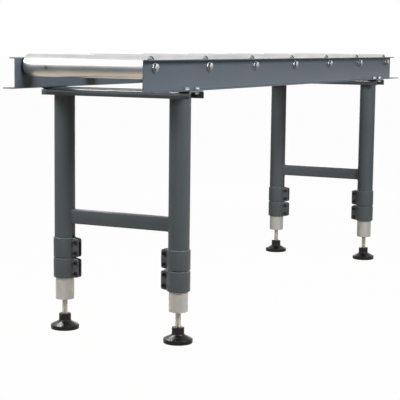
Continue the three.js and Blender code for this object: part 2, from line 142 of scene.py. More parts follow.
for box_name, (stand, target, width, grid_angle, power) in SOFT_BOXES.items():
    lamp = bpy.data.lights.new(box_name, "AREA")
    lamp.shape = "SQUARE"
    lamp.size = width
    lamp.spread = math.radians(grid_angle)
    lamp.energy = power
    soft_box = bpy.data.objects.new(box_name, lamp)
    bpy.context.collection.objects.link(soft_box)
    soft_box.location = stand
    soft_box.rotation_euler = (Vector(target) - Vector(stand)).to_track_quat("-Z", "Y").to_euler()
    soft_box.visible_camera = False

bpy.context.scene.view_settings.view_transform = "Standard"

# Camera: stands off the left end of the near side, a little above the rollers, with a long lens.
# Its place and angles come from the lines of the stand in the photograph.
CAMERA_PLACE = (-3.72912, -1.68688, 0.80305)
CAMERA_YAW = math.radians(63.936)
CAMERA_PITCH = math.radians(7.092)
CAMERA_ROLL = math.radians(0.699)
CAMERA_LENS = 112.463
SENSOR_WIDTH = 36.0
camera_data = bpy.data.cameras.new("camera")
camera_data.lens = CAMERA_LENS
camera_data.sensor_width = SENSOR_WIDTH
camera = bpy.data.objects.new("camera", camera_data)
bpy.context.collection.objects.link(camera)
aim = Matrix.Rotation(-CAMERA_YAW, 4, "Z")
aim = aim @ Matrix.Rotation(math.pi / 2 - CAMERA_PITCH, 4, "X")
aim = aim @ Matrix.Rotation(CAMERA_ROLL, 4, "Z")
camera.matrix_world = Matrix.Translation(CAMERA_PLACE) @ aim
bpy.context.scene.camera = camera

# Feet: four moulded black plastic feet, each a rimmed cone with a hub that holds a ball socket.
# They stand on the floor and snap on to the ball ends of the levelling spindles.
LEG_CORNERS = ("left_far", "left_near", "right_far", "right_near")
FOOT_RIM_HEIGHT = 12 * mm
FOOT_RIM_SHOULDER = 3 * mm
FOOT_HUB_RADIUS = 17 * mm
FOOT_HUB_HEIGHT = 20.5 * mm
FOOT_HUB_DROP = 3 * mm
FOOT_MOUTH_RADIUS = 8.6 * mm
SOCKET_RADIUS = 11.3 * mm
SOCKET_FLOOR = 10 * mm
TURN_STEPS = 96
SHARP_ANGLE = math.radians(32)
WELD_DISTANCE = 0.002 * mm
RUB_RADIUS = 1.6 * mm
TINY = 1e-12
PLASTIC_BLACK = (0.001, 0.001, 0.0008, 1)
PLASTIC_WORN = (0.014, 0.0138, 0.013, 1)


def node_box(node):
    """Lowest and highest corner of a CAD node as arrays."""
    low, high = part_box(node)
    return np.array(low), np.array(high)


def rounded(corners, radii, steps=5):
    """A closed outline with round corners. At each corner the arc of that radius that touches both
    sides is swept about its centre. Also gives each point's wear, 1 in the middle of a small arc."""
    corners = np.asarray(corners, float)
    radii = np.broadcast_to(np.asarray(radii, float), len(corners))[:, None]
    back = np.roll(corners, 1, 0) - corners
    ahead = np.roll(corners, -1, 0) - corners
    back = back / np.linalg.norm(back, axis=1, keepdims=True)
    ahead = ahead / np.linalg.norm(ahead, axis=1, keepdims=True)
    half = np.arccos(np.clip((back * ahead).sum(1, keepdims=True), -1, 1)) / 2
    inward = back + ahead
    inward = inward / (np.linalg.norm(inward, axis=1, keepdims=True) + TINY)
    centre = corners + inward * radii / np.sin(half)
    first = (corners + back * radii / np.tan(half) - centre)[:, None]
    last = (corners + ahead * radii / np.tan(half) - centre)[:, None]
    turn = (np.pi - 2 * half)[:, None]
    share = np.linspace(0, 1, steps)[None, :, None]
    arc = (np.sin((1 - share) * turn) * first + np.sin(share * turn) * last) / (np.sin(turn) + TINY)
    small = (radii > 0) & (radii < RUB_RADIUS)
    wear = small * np.sin(np.pi * share[:, :, 0])
    return (centre[:, None] + arc).reshape(-1, 2), wear.reshape(-1)


def sheet(points, wear=None, wrap=(False, False)):
    """A grid of points as corners, four-sided faces and wear. wrap joins the last row or column to the first."""
    rows, columns = points.shape[:2]
    index = np.arange(rows * columns).reshape(rows, columns)
    if wrap[0]:
        index = np.vstack([index, index[:1]])
    if wrap[1]:
        index = np.hstack([index, index[:, :1]])
    faces = np.stack([index[:-1, :-1], index[1:, :-1], index[1:, 1:], index[:-1, 1:]], -1)
    wear = np.zeros((rows, columns)) if wear is None else np.broadcast_to(wear, (rows, columns))
    return points.reshape(-1, 3), faces.reshape(-1, 4), wear.reshape(-1)


def turned(profile, wear, place, axis="z", steps=TURN_STEPS):
    """A closed outline of radius and height pairs carried once round an axis through place."""
    angle = np.linspace(0, 2 * np.pi, steps, endpoint=False)[None, :]
    radius, height = profile[:, :1], profile[:, 1:] + 0 * angle
    across, up = radius * np.cos(angle), radius * np.sin(angle)
    order = {"z": (across, up, height), "y": (across, height, up), "x": (height, across, up)}[axis]
    return sheet(np.stack(order, -1) + place, wear[:, None], (True, True))


def piece_of(name, sheets, material, body, nodes=()):
    """One finished piece: the sheets welded along their shared edges, open ends filled, faces turned
    outward, smooth except at sharp edges, riding on its body in place of its CAD nodes."""
    start = np.cumsum([0] + [len(points) for points, _, _ in sheets])
    points = np.concatenate([points for points, _, _ in sheets])
    faces = np.concatenate([faces + first for (_, faces, _), first in zip(sheets, start)])
    mesh = bpy.data.meshes.new(name)
    mesh.from_pydata(points.tolist(), [], faces.tolist())
    worn = mesh.attributes.new("wear", "FLOAT", "POINT")
    worn.data.foreach_set("value", np.concatenate([wear for _, _, wear in sheets]))
    shell = bmesh.new()
    shell.from_mesh(mesh)
    bmesh.ops.remove_doubles(shell, verts=shell.verts, dist=WELD_DISTANCE)
    bmesh.ops.dissolve_degenerate(shell, edges=shell.edges, dist=WELD_DISTANCE)
    bmesh.ops.holes_fill(shell, edges=[edge for edge in shell.edges if edge.is_boundary])
    bmesh.ops.recalc_face_normals(shell, faces=shell.faces)
    shell.to_mesh(mesh)
    shell.free()
    mesh.shade_smooth()
    mesh.set_sharp_from_angle(angle=SHARP_ANGLE)
    mesh.materials.append(material)
    piece = bpy.data.objects.new(name, mesh)
    bpy.context.collection.objects.link(piece)
    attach(piece, body)
    if nodes:
        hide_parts(*nodes)
    return piece


def shader_group(name, inputs, outputs):
    """An empty shader node group with named inputs and outputs, each given as name and socket type."""
    group = bpy.data.node_groups.new(name, "ShaderNodeTree")
    for direction, sockets in (("INPUT", inputs), ("OUTPUT", outputs)):
        for socket, kind in sockets:
            group.interface.new_socket(socket, in_out=direction, socket_type=kind)
    return group, group.nodes.new("NodeGroupInput"), group.nodes.new("NodeGroupOutput")


# Surface grain: noise in the piece's own space, stretched along its axes, as a height and as a level
grain, grain_in, grain_out = shader_group(
    "surface_grain",
    [("Scale", "NodeSocketFloat"), ("Stretch", "NodeSocketVector"), ("Detail", "NodeSocketFloat"),
     ("Low", "NodeSocketFloat"), ("High", "NodeSocketFloat")],
    [("Height", "NodeSocketFloat"), ("Level", "NodeSocketFloat")],
)
grain_space = grain.nodes.new("ShaderNodeTexCoord")
grain_stretch = grain.nodes.new("ShaderNodeVectorMath")
grain_stretch.operation = "MULTIPLY"
grain_noise = grain.nodes.new("ShaderNodeTexNoise")
grain_level = grain.nodes.new("ShaderNodeMapRange")
grain_level.inputs["From Min"].default_value = 0.3
grain_level.inputs["From Max"].default_value = 0.7
grain.links.new(grain_space.outputs["Object"], grain_stretch.inputs[0])
grain.links.new(grain_in.outputs["Stretch"], grain_stretch.inputs[1])
grain.links.new(grain_stretch.outputs[0], grain_noise.inputs["Vector"])
grain.links.new(grain_in.outputs["Scale"], grain_noise.inputs["Scale"])
grain.links.new(grain_in.outputs["Detail"], grain_noise.inputs["Detail"])
grain.links.new(grain_noise.outputs["Fac"], grain_level.inputs["Value"])
grain.links.new(grain_in.outputs["Low"], grain_level.inputs["To Min"])
grain.links.new(grain_in.outputs["High"], grain_level.inputs["To Max"])
grain.links.new(grain_noise.outputs["Fac"], grain_out.inputs["Height"])
grain.links.new(grain_level.outputs[0], grain_out.inputs["Level"])

# Edge wear: the wear stored along a piece's outer edges, broken up by noise
edge_wear, edge_in, edge_out = shader_group(
    "edge_wear",
    [("Scale", "NodeSocketFloat"), ("Amount", "NodeSocketFloat")],
    [("Mask", "NodeSocketFloat")],
)
edge_stored = edge_wear.nodes.new("ShaderNodeAttribute")
edge_stored.attribute_name = "wear"
edge_space = edge_wear.nodes.new("ShaderNodeTexCoord")
edge_noise = edge_wear.nodes.new("ShaderNodeTexNoise")
edge_noise.inputs["Detail"].default_value = 4
edge_break = edge_wear.nodes.new("ShaderNodeMapRange")
edge_break.inputs["From Min"].default_value = 0.35
edge_break.inputs["From Max"].default_value = 0.65
edge_part = edge_wear.nodes.new("ShaderNodeMath")
edge_part.operation = "MULTIPLY"
edge_amount = edge_wear.nodes.new("ShaderNodeMath")
edge_amount.operation = "MULTIPLY"
edge_wear.links.new(edge_space.outputs["Object"], edge_noise.inputs["Vector"])
edge_wear.links.new(edge_in.outputs["Scale"], edge_noise.inputs["Scale"])
edge_wear.links.new(edge_noise.outputs["Fac"], edge_break.inputs["Value"])
edge_wear.links.new(edge_stored.outputs["Fac"], edge_part.inputs[0])
edge_wear.links.new(edge_break.outputs[0], edge_part.inputs[1])
edge_wear.links.new(edge_part.outputs[0], edge_amount.inputs[0])
edge_wear.links.new(edge_in.outputs["Amount"], edge_amount.inputs[1])
edge_wear.links.new(edge_amount.outputs[0], edge_out.inputs["Mask"])


def placed_group(nodes, group, **values):
    """A node group in a material, with its inputs set by name."""
    node = nodes.new("ShaderNodeGroup")
    node.node_tree = group
    for socket, value in values.items():
        node.inputs[socket].default_value = value
    return node


def finish_of(name, base, varied, worn, grain_values, blotch_values, bump, wear_amount, **constants):
    """A procedural finish: base colour drifting to a second one in blotches, a third one on worn edges,
    roughness from the grain's level and a bump from the grain's height. constants go on the shader."""
    material = bpy.data.materials.new(name)
    material.use_nodes = True
    nodes, link = material.node_tree.nodes, material.node_tree.links.new
    shader = nodes["Principled BSDF"]
    for socket, value in constants.items():
        shader.inputs[socket.replace("_", " ")].default_value = value
    fine = placed_group(nodes, grain, **grain_values)
    blotch = placed_group(nodes, grain, **blotch_values)
    rub = placed_group(nodes, edge_wear, Scale=140.0, Amount=wear_amount)
    drift, wear_mix = nodes.new("ShaderNodeMix"), nodes.new("ShaderNodeMix")
    for mix in (drift, wear_mix):
        mix.data_type = "RGBA"
    drift.inputs["A"].default_value = base
    drift.inputs["B"].default_value = varied
    wear_mix.inputs["B"].default_value = worn
    link(blotch.outputs["Level"], drift.inputs["Factor"])
    link(drift.outputs["Result"], wear_mix.inputs["A"])
    link(rub.outputs["Mask"], wear_mix.inputs["Factor"])
    link(wear_mix.outputs["Result"], shader.inputs["Base Color"])
    link(fine.outputs["Level"], shader.inputs["Roughness"])
    relief = nodes.new("ShaderNodeBump")
    relief.inputs["Strength"].default_value = bump
    relief.inputs["Distance"].default_value = 0.2 * mm
    link(fine.outputs["Height"], relief.inputs["Height"])
    link(relief.outputs["Normal"], shader.inputs["Normal"])
    return material


black_plastic = finish_of(
    "black_plastic", PLASTIC_BLACK, (0.002, 0.002, 0.0016, 1), PLASTIC_WORN,
    dict(Scale=900.0, Stretch=(1, 1, 1), Detail=3.0, Low=0.34, High=0.4),
    dict(Scale=45.0, Stretch=(1, 1, 1), Detail=2.0, Low=0.0, High=1.0),
    bump=0.01, wear_amount=0.6, Specular_IOR_Level=0.3,
)


def foot_outline(radius, top):
    """Radius and height of the foot's half section: flat underside, rim, cone, hub, mouth and ball socket."""
    cone_top = top - FOOT_HUB_HEIGHT
    corners = [
        (0, 0), (radius, 0), (radius, FOOT_RIM_HEIGHT),
        (radius - FOOT_RIM_SHOULDER, FOOT_RIM_HEIGHT + 1.5 * mm),
        (FOOT_HUB_RADIUS, cone_top), (FOOT_HUB_RADIUS, top), (FOOT_MOUTH_RADIUS, top),
    ]
    radii = np.array([0, 2, 1.4, 2.5, 5, 2.2, 0.8]) * mm
    outside, wear = rounded(corners + [(0, top)], np.append(radii, 0))
    used = len(corners) * (len(outside) // (len(corners) + 1))
    reach = math.asin(FOOT_MOUTH_RADIUS / SOCKET_RADIUS)
    fall = np.linspace(reach, math.pi, 14)
    centre = SOCKET_FLOOR + SOCKET_RADIUS
    socket = np.stack([SOCKET_RADIUS * np.sin(fall), centre + SOCKET_RADIUS * np.cos(fall)], 1)
    return np.concatenate([outside[:used], socket]), np.append(wear[:used], np.zeros(len(socket)))


for corner in LEG_CORNERS:
    foot_low, foot_high = node_box(f"foot_{corner}")
    foot_middle = (foot_low + foot_high) / 2 * (1, 1, 0)
    foot_radius = (foot_high - foot_low)[0] / 2
    foot_parts = [turned(*foot_outline(foot_radius, foot_high[2] - FOOT_HUB_DROP), foot_middle)]
    piece_of(f"moulded_foot_{corner}", foot_parts, black_plastic, f"foot_{corner}",
             [f"foot_{corner}"])

# Spindles: four M16 studs of bright zinc-plated steel with a forged ball end in the foot.
# The rolled thread runs up through the plug in the inner tube, so turning one levels that leg.
THREAD_PITCH = 2 * mm
THREAD_RADIUS = 8 * mm
THREAD_DEPTH = 1.1 * mm
THREAD_ROWS_PER_PITCH = 8
THREAD_COLUMNS = 32
THREAD_START = 3 * mm
SPINDLE_CHAMFER = 1.5 * mm
STUD_GREY = (0.55, 0.54, 0.505, 1)
STUD_DULL = (0.44, 0.435, 0.405, 1)
STUD_WORN = (0.6, 0.6, 0.58, 1)

plated_stud = finish_of(
    "plated_stud", STUD_GREY, STUD_DULL, STUD_WORN,
    dict(Scale=700.0, Stretch=(1, 1, 1), Detail=4.0, Low=0.3, High=0.44),
    dict(Scale=160.0, Stretch=(1, 1, 1), Detail=3.0, Low=0.0, High=1.0),
    bump=0.05, wear_amount=0.6, Metallic=1.0,
)


def threaded_stud(low, high, middle, ball):
    """Radius of the stud at each angle and height: a ball at the bottom, then a thread whose radius is a
    triangle wave of height over pitch less the share of a turn, fading to the root at both ends."""
    neck = low + ball + math.sqrt(ball ** 2 - (THREAD_RADIUS - THREAD_DEPTH) ** 2)
    fall = np.linspace(0, math.pi - math.asin((THREAD_RADIUS - THREAD_DEPTH) / ball), 18)
    ball_height = low + ball - ball * np.cos(fall)
    rows = int((high - neck) / THREAD_PITCH * THREAD_ROWS_PER_PITCH)
    height = np.concatenate([ball_height, np.linspace(neck, high, rows)[1:], [high]])[:, None]
    angle = np.linspace(0, 2 * np.pi, THREAD_COLUMNS, endpoint=False)[None, :]
    phase = (height / THREAD_PITCH - angle / (2 * np.pi)) % 1
    crest = np.clip(1.5 - np.abs(4 * phase - 2) * 1.25, 0, 1)
    fade = np.clip((height - neck - THREAD_START) / THREAD_PITCH, 0, 1)
    radius = THREAD_RADIUS - THREAD_DEPTH * (1 - crest * fade)
    radius = np.minimum(radius, THREAD_RADIUS - SPINDLE_CHAMFER + (high - height))
    radius[: len(fall)] = ball * np.sin(fall)[:, None]
    radius[-1] = 0
    points = np.stack([radius * np.cos(angle), radius * np.sin(angle), height + 0 * angle], -1)
    return sheet(points + middle, wrap=(False, True))


for corner in LEG_CORNERS:
    spindle_low, spindle_high = node_box(f"spindle_{corner}")
    spindle_middle = (spindle_low + spindle_high) / 2 * (1, 1, 0)
    ball_radius = (spindle_high - spindle_low)[0] / 2
    stud = threaded_stud(spindle_low[2], spindle_high[2], spindle_middle, ball_radius)
    piece_of(f"levelling_spindle_{corner}", [stud], plated_stud, f"spindle_{corner}",
             [f"spindle_{corner}"])

# Inner tubes: the telescopic part of each leg, a drawn steel tube with a matt plated skin.
# A turned plug with an M16 thread is welded into the lower end and takes the spindle.
INNER_WALL = 3 * mm
INNER_EDGE = 0.6 * mm
PLUG_LENGTH = 30 * mm
PLUG_MOUTH = 8.35 * mm
PLUG_COUNTERSINK = 1.2 * mm
TUBE_GREY = (0.53, 0.535, 0.53, 1)
TUBE_SHADE = (0.45, 0.455, 0.45, 1)
TUBE_WORN = (0.6, 0.6, 0.59, 1)

drawn_tube = finish_of(
    "drawn_tube", TUBE_GREY, TUBE_SHADE, TUBE_WORN,
    dict(Scale=420.0, Stretch=(1, 1, 0.04), Detail=5.0, Low=0.42, High=0.58),
    dict(Scale=60.0, Stretch=(1, 1, 0.35), Detail=4.0, Low=0.0, High=1.0),
    bump=0.08, wear_amount=0.7, Metallic=0.2, Specular_IOR_Level=0.2,
)

for corner in LEG_CORNERS:
    inner_low, inner_high = node_box(f"inner_tube_{corner}")
    inner_middle = (inner_low + inner_high) / 2 * (1, 1, 0) + (0, 0, inner_low[2])
    inner_radius = (inner_high - inner_low)[0] / 2
    inner_length = inner_high[2] - inner_low[2]
    inner_bore = inner_radius - INNER_WALL
    tube_corners = [
        (PLUG_MOUTH, 0), (inner_radius, 0), (inner_radius, inner_length), (inner_bore, inner_length),
        (inner_bore, PLUG_LENGTH), (PLUG_MOUTH, PLUG_LENGTH),
    ]
    tube_radii = [PLUG_COUNTERSINK, INNER_EDGE, INNER_EDGE, INNER_EDGE, 0, 0]
    tube_parts = [turned(*rounded(tube_corners, tube_radii), inner_middle)]
    piece_of(f"telescopic_tube_{corner}", tube_parts, drawn_tube, f"inner_leg_{corner}",
             [f"inner_tube_{corner}"])

# Leg tubes: welded steel tube, powder coated dark blue-grey, slit at the lower end on the inward side.
# The slit lets the clamp collars squeeze the end on to the inner tube.
LEG_WALL = 2.8 * mm
LEG_EDGE = 0.7 * mm
SLIT_WIDTH = 11 * mm
SLIT_HEIGHT = 151 * mm
PAINT = (0.083, 0.095, 0.103, 1)
PAINT_SHADE = (0.075, 0.087, 0.095, 1)
PAINT_WORN = (0.2, 0.215, 0.22, 1)

paint = finish_of(
    "grey_paint", PAINT, PAINT_SHADE, PAINT_WORN,
    dict(Scale=520.0, Stretch=(1, 1, 1), Detail=2.0, Low=0.3, High=0.38),
    dict(Scale=14.0, Stretch=(1, 1, 1), Detail=3.0, Low=0.0, High=1.0),
    bump=0.14, wear_amount=0.75, Specular_IOR_Level=0.25,
)


def slit_tube(radius, wall, length, place, side):
    """A tube wall carried round from one edge of the slit to the other. At each height the turn starts at
    the angle of half the slit's width, which falls to nothing over the slit's round end."""
    corners = [(radius, 0), (radius, length), (radius - wall, length), (radius - wall, 0)]
    ring, wear = rounded(corners, LEG_EDGE)
    rise = np.linspace(0, 1, 40)[:, None]
    low_turn = len(ring) // 4
    outer = ring[low_turn - 1] + (ring[low_turn] - ring[low_turn - 1]) * rise
    inner = ring[3 * low_turn - 1] + (ring[3 * low_turn] - ring[3 * low_turn - 1]) * rise
    split = SLIT_HEIGHT - SLIT_WIDTH / 2 + SLIT_WIDTH / 2 * np.sin(np.linspace(0, np.pi / 2, 10))
    heights = np.unique(np.concatenate([outer[:, 1], split, [SLIT_HEIGHT * 0.5]]))
    outer = np.stack([0 * heights + radius, heights], 1)
    inner = np.stack([0 * heights + radius - wall, heights], 1)[::-1]
    loop = np.concatenate([ring[:low_turn], outer[1:-1], ring[low_turn:3 * low_turn], inner[1:-1], ring[3 * low_turn:]])
    loop_wear = np.concatenate([wear[:low_turn], np.zeros(len(heights) - 2), wear[low_turn:3 * low_turn],
                                np.zeros(len(heights) - 2), wear[3 * low_turn:]])
    over = np.clip(loop[:, 1] - (SLIT_HEIGHT - SLIT_WIDTH / 2), 0, SLIT_WIDTH / 2)
    half_width = np.sqrt(np.maximum((SLIT_WIDTH / 2) ** 2 - over ** 2, 0))
    start = np.arcsin(half_width / loop[:, 0])[:, None]
    share = np.linspace(0, 1, TURN_STEPS + 1)[None, :]
    angle = side * np.pi / 2 + start + share * (2 * np.pi - 2 * start)
    points = np.stack([loop[:, :1] * np.cos(angle), loop[:, :1] * np.sin(angle), loop[:, 1:] + 0 * angle], -1)
    return sheet(points + place, loop_wear[:, None], (True, False))


for corner in LEG_CORNERS:
    leg_low, leg_high = node_box(f"leg_tube_{corner}")
    leg_place = (leg_low + leg_high) / 2 * (1, 1, 0) + (0, 0, leg_low[2])
    leg_radius = (leg_high - leg_low)[0] / 2
    leg_inward = -np.sign(leg_place[1])
    leg_parts = [slit_tube(leg_radius, LEG_WALL, leg_high[2] - leg_low[2], leg_place, leg_inward)]
    piece_of(f"leg_sleeve_{corner}", leg_parts, paint, "frame", [f"leg_tube_{corner}"])

# Clamp collars: bent steel straps, two on each leg, painted with the frame.
# Each strap is a split band whose ends turn out into two tapered ears that the bolts pull together.
COLLAR_WALL = 2.6 * mm
COLLAR_FIT = 0.3 * mm
COLLAR_SLOT = 13 * mm
EAR_THICKNESS = 2.5 * mm
EAR_FILLET = 4 * mm
EAR_TAPER = 2.5 * mm
EAR_CORNER = 3.5 * mm
STRAP_EDGE = 2.1 * mm
STRAP_BORE_EDGE = 0.3 * mm
STRAP_CORNER_STEPS = 6
BAND_STEPS = 72
EAR_STEPS = 22
FILLET_STEPS = 10


def along(path, count):
    """Points at even shares of a path's length."""
    length = np.append(0, np.cumsum(np.linalg.norm(np.diff(path, axis=0), axis=1)))
    share = np.linspace(0, length[-1], count)
    return np.stack([np.interp(share, length, path[:, axis]) for axis in (0, 1)], 1)


def strap_sides(bore, reach):
    """Inner and outer face of half a strap seen from above, from the ear's end to the back of the band:
    down the ear, round the fillet and along the band, with the same number of points on both faces."""
    band = bore + COLLAR_WALL
    slot, ear = COLLAR_SLOT / 2, COLLAR_SLOT / 2 + EAR_THICKNESS
    fillet_x = ear + EAR_FILLET
    fillet_y = math.sqrt((band + EAR_FILLET) ** 2 - fillet_x ** 2)
    fillet_end = math.atan2(fillet_y, fillet_x)
    ear_y = reach - (reach - fillet_y) * np.linspace(0, 1, EAR_STEPS) ** 1.6
    turn = np.linspace(math.pi, math.pi + fillet_end, FILLET_STEPS)
    fillet = np.stack([fillet_x + EAR_FILLET * np.cos(turn), fillet_y + EAR_FILLET * np.sin(turn)], 1)
    mouth = np.linspace(math.acos(slot / bore), fillet_end, FILLET_STEPS)
    throat = np.stack([bore * np.cos(mouth), bore * np.sin(mouth)], 1)
    throat = along(np.concatenate([[(slot, fillet_y)], throat]), FILLET_STEPS)
    back = np.linspace(fillet_end, -math.pi / 2, BAND_STEPS // 2)
    circle = np.stack([np.cos(back), np.sin(back)], 1)
    inner = np.concatenate([np.stack([0 * ear_y + slot, ear_y], 1), throat[1:], bore * circle[1:]])
    outer = np.concatenate([np.stack([0 * ear_y + ear, ear_y], 1), fillet[1:], band * circle[1:]])
    return inner, outer


def collar_strap(bore, reach, height, place, side):
    """A rectangle with round edges carried along the strap between its two faces. Past the band its height
    falls evenly by the taper, and at the ear's end along a quarter circle."""
    inner, outer = strap_sides(bore, reach)
    mirror = (-1, 1)
    inner = np.concatenate([inner, inner[-2::-1] * mirror])
    outer = np.concatenate([outer, outer[-2::-1] * mirror])
    band = bore + COLLAR_WALL
    out = (inner[:, 1] + outer[:, 1]) / 2
    fall = EAR_TAPER * np.clip((out - band) / (reach - band), 0, 1)
    past = np.clip(out - (reach - EAR_CORNER), 0, EAR_CORNER)
    fall = fall + EAR_CORNER - np.sqrt(np.maximum(EAR_CORNER ** 2 - past ** 2, 0))
    turn = np.linspace(0, np.pi / 2, STRAP_CORNER_STEPS)
    edge = np.repeat([STRAP_BORE_EDGE, STRAP_EDGE, STRAP_EDGE, STRAP_BORE_EDGE], len(turn))
    corner_sign = np.repeat([(-1, -1), (1, -1), (1, 1), (-1, 1)], len(turn), 0)
    sine, cosine = np.sin(turn), np.cos(turn)
    arc = np.stack([np.concatenate([-cosine, sine, cosine, -sine]),
                    np.concatenate([-sine, -cosine, sine, cosine])], 1)
    width = np.linalg.norm(outer - inner, axis=1)[:, None]
    half = (height / 2 - fall)[:, None]
    across = (corner_sign[:, 0] * (width / 2 - edge) + edge * arc[:, 0]) / width + 0.5
    rise = corner_sign[:, 1] * (half - edge) + edge * arc[:, 1]
    plan = inner[:, None] + (outer - inner)[:, None] * across[:, :, None]
    points = np.stack([plan[..., 0], side * plan[..., 1], rise], -1)
    worn = np.sin(2 * np.tile(turn, 4)) * (corner_sign[:, 0] > 0)
    return sheet(points + place, worn[None, :], (False, True))


for corner in LEG_CORNERS:
    for level in ("lower", "upper"):
        node = f"clamp_{level}_{corner}"
        leg_low, leg_high = node_box(f"leg_tube_{corner}")
        collar_low, collar_high = node_box(node)
        collar_place = (leg_low + leg_high) / 2 * (1, 1, 0) + (0, 0, (collar_low + collar_high)[2] / 2)
        inward = -np.sign(collar_place[1])
        ear_end = collar_high[1] if inward > 0 else collar_low[1]
        collar_bore = (leg_high - leg_low)[0] / 2 + COLLAR_FIT
        strap = collar_strap(collar_bore, abs(ear_end - collar_place[1]), (collar_high - collar_low)[2],
                             collar_place, inward)
        piece_of(f"clamp_collar_{level}_{corner}", [strap], paint, "frame", [node])

# Clamp bolts: two M6 socket screws with black oxide through the ears of each collar.
# The round heads are on the outward face of the stand's left, each nut on the other ear.
CLAMP_BOLT_SPACING = 30 * mm
CLAMP_BOLT_FROM_END = 9 * mm
CLAMP_HEAD_RADIUS = 5.2 * mm
CLAMP_HEAD_HEIGHT = 5.5 * mm
CLAMP_SOCKET_FLATS = 5 * mm
CLAMP_SOCKET_DEPTH = 3 * mm
CLAMP_NUT_FLATS = 10 * mm
CLAMP_NUT_HEIGHT = 5 * mm
CLAMP_SHANK_RADIUS = 3 * mm
HEX_CHAMFER = math.tan(math.radians(30))
HEX_STEPS = 72
OXIDE = (0.006, 0.006, 0.006, 1)
OXIDE_GREY = (0.01, 0.01, 0.01, 1)
OXIDE_WORN = (0.04, 0.04, 0.04, 1)

black_oxide = finish_of(
    "black_oxide", OXIDE, OXIDE_GREY, OXIDE_WORN,
    dict(Scale=1100.0, Stretch=(1, 1, 1), Detail=3.0, Low=0.42, High=0.54),
    dict(Scale=240.0, Stretch=(1, 1, 1), Detail=3.0, Low=0.0, High=1.0),
    bump=0.08, wear_amount=0.6, Specular_IOR_Level=0.25,
)


def hexagon(angle, flats):
    """Distance from a hexagon's middle to its side at each angle."""
    return flats / 2 / np.cos(angle % (np.pi / 3) - np.pi / 6)


def polar_solid(radius, height, place, axis, wear=None):
    """Rows of radius and height at every angle, carried round the axis: the first and last rows are on it."""
    angle = np.linspace(0, 2 * np.pi, radius.shape[1], endpoint=False)
    across, up = radius * np.cos(angle), radius * np.sin(angle)
    order = {"x": (height, across, up), "y": (across, height, up), "z": (across, up, height)}[axis]
    return sheet(np.stack(order, -1) + place, wear, (False, True))


def hex_block(flats, thick, place, axis, way=1, bottom_chamfer=False):
    """A hexagon head or nut on its seat. Its top is a circle just inside the flats, from which a cone of
    30 degrees falls to the six sides, and a nut has the same cone underneath."""
    angle = np.linspace(0, 2 * np.pi, HEX_STEPS, endpoint=False)
    side = hexagon(angle, flats)
    circle = 0 * angle + flats / 2 * 0.96
    drop = (side - circle) * HEX_CHAMFER
    foot = drop if bottom_chamfer else 0 * angle
    foot_circle = circle if bottom_chamfer else side
    radius = np.stack([0 * angle, foot_circle, side, side, circle, 0 * angle])
    height = np.stack([0 * angle, 0 * angle, foot, thick - drop, thick + 0 * angle, thick + 0 * angle])
    wear = np.array([0, 0.3, 0.6, 1, 0.7, 0])[:, None]
    return polar_solid(radius, way * height, place, axis, wear)


def round_block(outline, wear, place, axis, way=1, steps=48):
    """A washer, rod or round head: an outline of radius and height carried round the axis."""
    return turned(outline * (1, way), wear, place, axis, steps)


def socket_head(place, way):
    """A round screw head with a hexagon recess: rows run from the seat up the knurled side, over the round
    edge, in to the recess and down to its floor."""
    angle = np.linspace(0, 2 * np.pi, HEX_STEPS, endpoint=False)
    recess = hexagon(angle, CLAMP_SOCKET_FLATS)
    knurl = CLAMP_HEAD_RADIUS - 0.12 * mm * (1 + np.cos(36 * angle))
    plain = 0 * angle + CLAMP_HEAD_RADIUS
    edge = 0.8 * mm
    top = CLAMP_HEAD_HEIGHT
    rows = [
        (0 * angle, 0), (plain - edge / 2, 0), (knurl, edge / 2), (knurl, top - 2 * edge), (plain, top - 2 * edge),
        (plain, top - edge), (plain - edge * 0.3, top - edge * 0.3), (plain - edge, top),
        (recess + 0.3 * mm, top), (recess, top - 0.3 * mm), (recess, top - CLAMP_SOCKET_DEPTH),
        (0 * angle, top - CLAMP_SOCKET_DEPTH - 0.8 * mm),
    ]
    radius = np.stack([row[0] for row in rows])
    height = np.stack([row[1] + 0 * angle for row in rows])
    wear = np.array([0, 0, 0, 0, 0, 0.4, 1, 0.5, 0.6, 0.3, 0, 0])[:, None]
    return polar_solid(radius, way * height, place, "x", wear)


for corner in LEG_CORNERS:
    for level in ("lower", "upper"):
        leg_low, leg_high = node_box(f"leg_tube_{corner}")
        collar_low, collar_high = node_box(f"clamp_{level}_{corner}")
        axis_x, axis_y = ((leg_low + leg_high) / 2)[:2]
        inward = -np.sign(axis_y)
        ear_end = collar_high[1] if inward > 0 else collar_low[1]
        bolt_y = ear_end - inward * CLAMP_BOLT_FROM_END
        ear_face = COLLAR_SLOT / 2 + EAR_THICKNESS
        screw_parts = []
        for rise in (-CLAMP_BOLT_SPACING / 2, CLAMP_BOLT_SPACING / 2):
            bolt_z = (collar_low + collar_high)[2] / 2 + rise
            left_seat = np.array((axis_x - ear_face, bolt_y, bolt_z))
            right_seat = np.array((axis_x + ear_face, bolt_y, bolt_z))
            shank = np.array([(0, 0), (CLAMP_SHANK_RADIUS, 0), (CLAMP_SHANK_RADIUS, COLLAR_SLOT),
                              (0, COLLAR_SLOT)])
            shank_place = np.array((axis_x - COLLAR_SLOT / 2, bolt_y, bolt_z))
            screw_parts.append(socket_head(left_seat, -1))
            screw_parts.append(hex_block(CLAMP_NUT_FLATS, CLAMP_NUT_HEIGHT, right_seat, "x", bottom_chamfer=True))
            screw_parts.append(round_block(shank, np.zeros(4), shank_place, "x", steps=24))
        piece_of(f"clamp_screws_{level}_{corner}", screw_parts, black_oxide, "frame")

